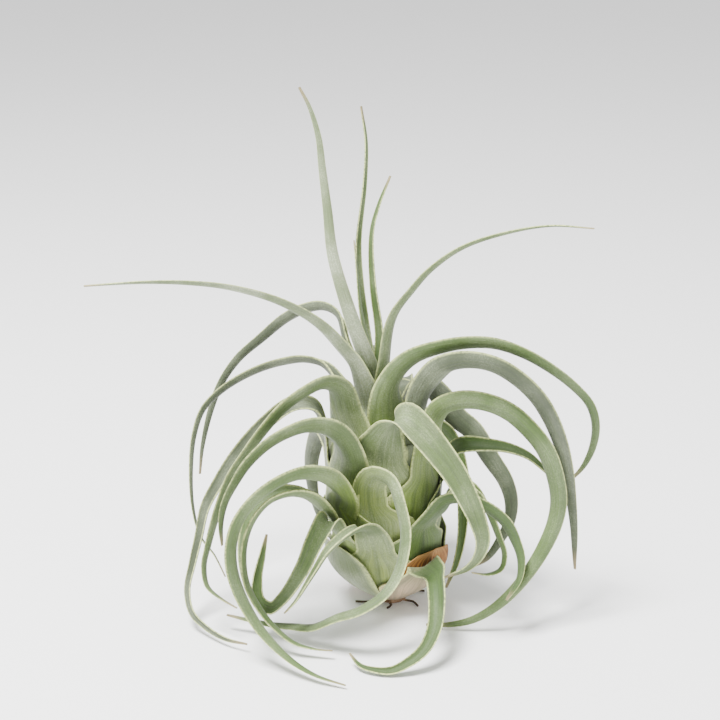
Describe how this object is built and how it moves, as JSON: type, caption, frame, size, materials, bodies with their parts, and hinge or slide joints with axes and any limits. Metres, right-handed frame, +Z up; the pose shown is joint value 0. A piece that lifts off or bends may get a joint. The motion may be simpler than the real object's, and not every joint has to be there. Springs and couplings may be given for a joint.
{
  "type": "tillandsia ehlersiana air plant",
  "caption": "Bulbous air plant: nested leaf sheaths round a short stem, with long channelled silvery green blades that arch, curl and hang.",
  "frame": {"origin": "middle of the stem's flat foot, on the surface that the plant rests on", "axes": "+Z up along the stem, +X to the right of the view from the front, -Y towards the front"},
  "size_m": [0.2958, 0.215, 0.3193],
  "materials": {
    "leaf_frosted": "matte grey-green leaf under fine pale scales",
    "leaf_silver": "matte grey-taupe leaf under fine pale scales",
    "leaf_green": "satin green leaf with a pale margin",
    "leaf_dark": "satin dark green leaf with a pale margin",
    "leaf_pale": "matte pale grey-green leaf, thick with scales",
    "sheath_dry": "dry papery brown sheath with lengthwise streaks",
    "stem_wood": "rough dark brown stem and wiry roots"
  },
  "bodies": {
    "root": {"stem_and_roots": "stem_wood", "leaf_inner_short": "leaf_green", "leaf_tall_thin": "leaf_frosted", "leaf_tall_left": "leaf_pale", "leaf_thin_right": "leaf_green", "leaf_back_left_upper": "leaf_silver", "leaf_right_arch": "leaf_frosted", "leaf_behind_1": "leaf_silver", "leaf_left_long": "leaf_pale", "leaf_back_right": "leaf_silver", "leaf_back_left_lower": "leaf_silver", "leaf_right_upper": "leaf_green", "leaf_behind_2": "leaf_silver", "leaf_left_front": "leaf_frosted", "leaf_right_middle": "leaf_silver", "leaf_behind_3": "leaf_frosted", "leaf_front_upper": "leaf_frosted", "leaf_right_strand": "leaf_green", "leaf_left_low": "leaf_silver", "leaf_right_green": "leaf_green", "leaf_behind_4": "leaf_green", "leaf_left_inner": "leaf_frosted", "leaf_right_olive": "leaf_dark", "leaf_behind_5": "leaf_silver", "leaf_front_pouch": "leaf_frosted", "leaf_behind_6": "leaf_frosted", "leaf_front_curl": "leaf_green", "leaf_right_inner_curl": "leaf_green", "leaf_behind_7": "leaf_frosted", "leaf_front_second_curl": "leaf_green", "leaf_right_hanging": "leaf_dark", "sheath_bare_left": "leaf_pale", "leaf_twisted": "leaf_green", "sheath_bare_right": "leaf_pale", "leaf_front_hanging": "leaf_frosted", "sheath_dry_back": "sheath_dry", "leaf_front_lowest": "leaf_dark", "sheath_pale": "leaf_pale", "sheath_dry_front": "sheath_dry"}
  },
  "joints": []
}
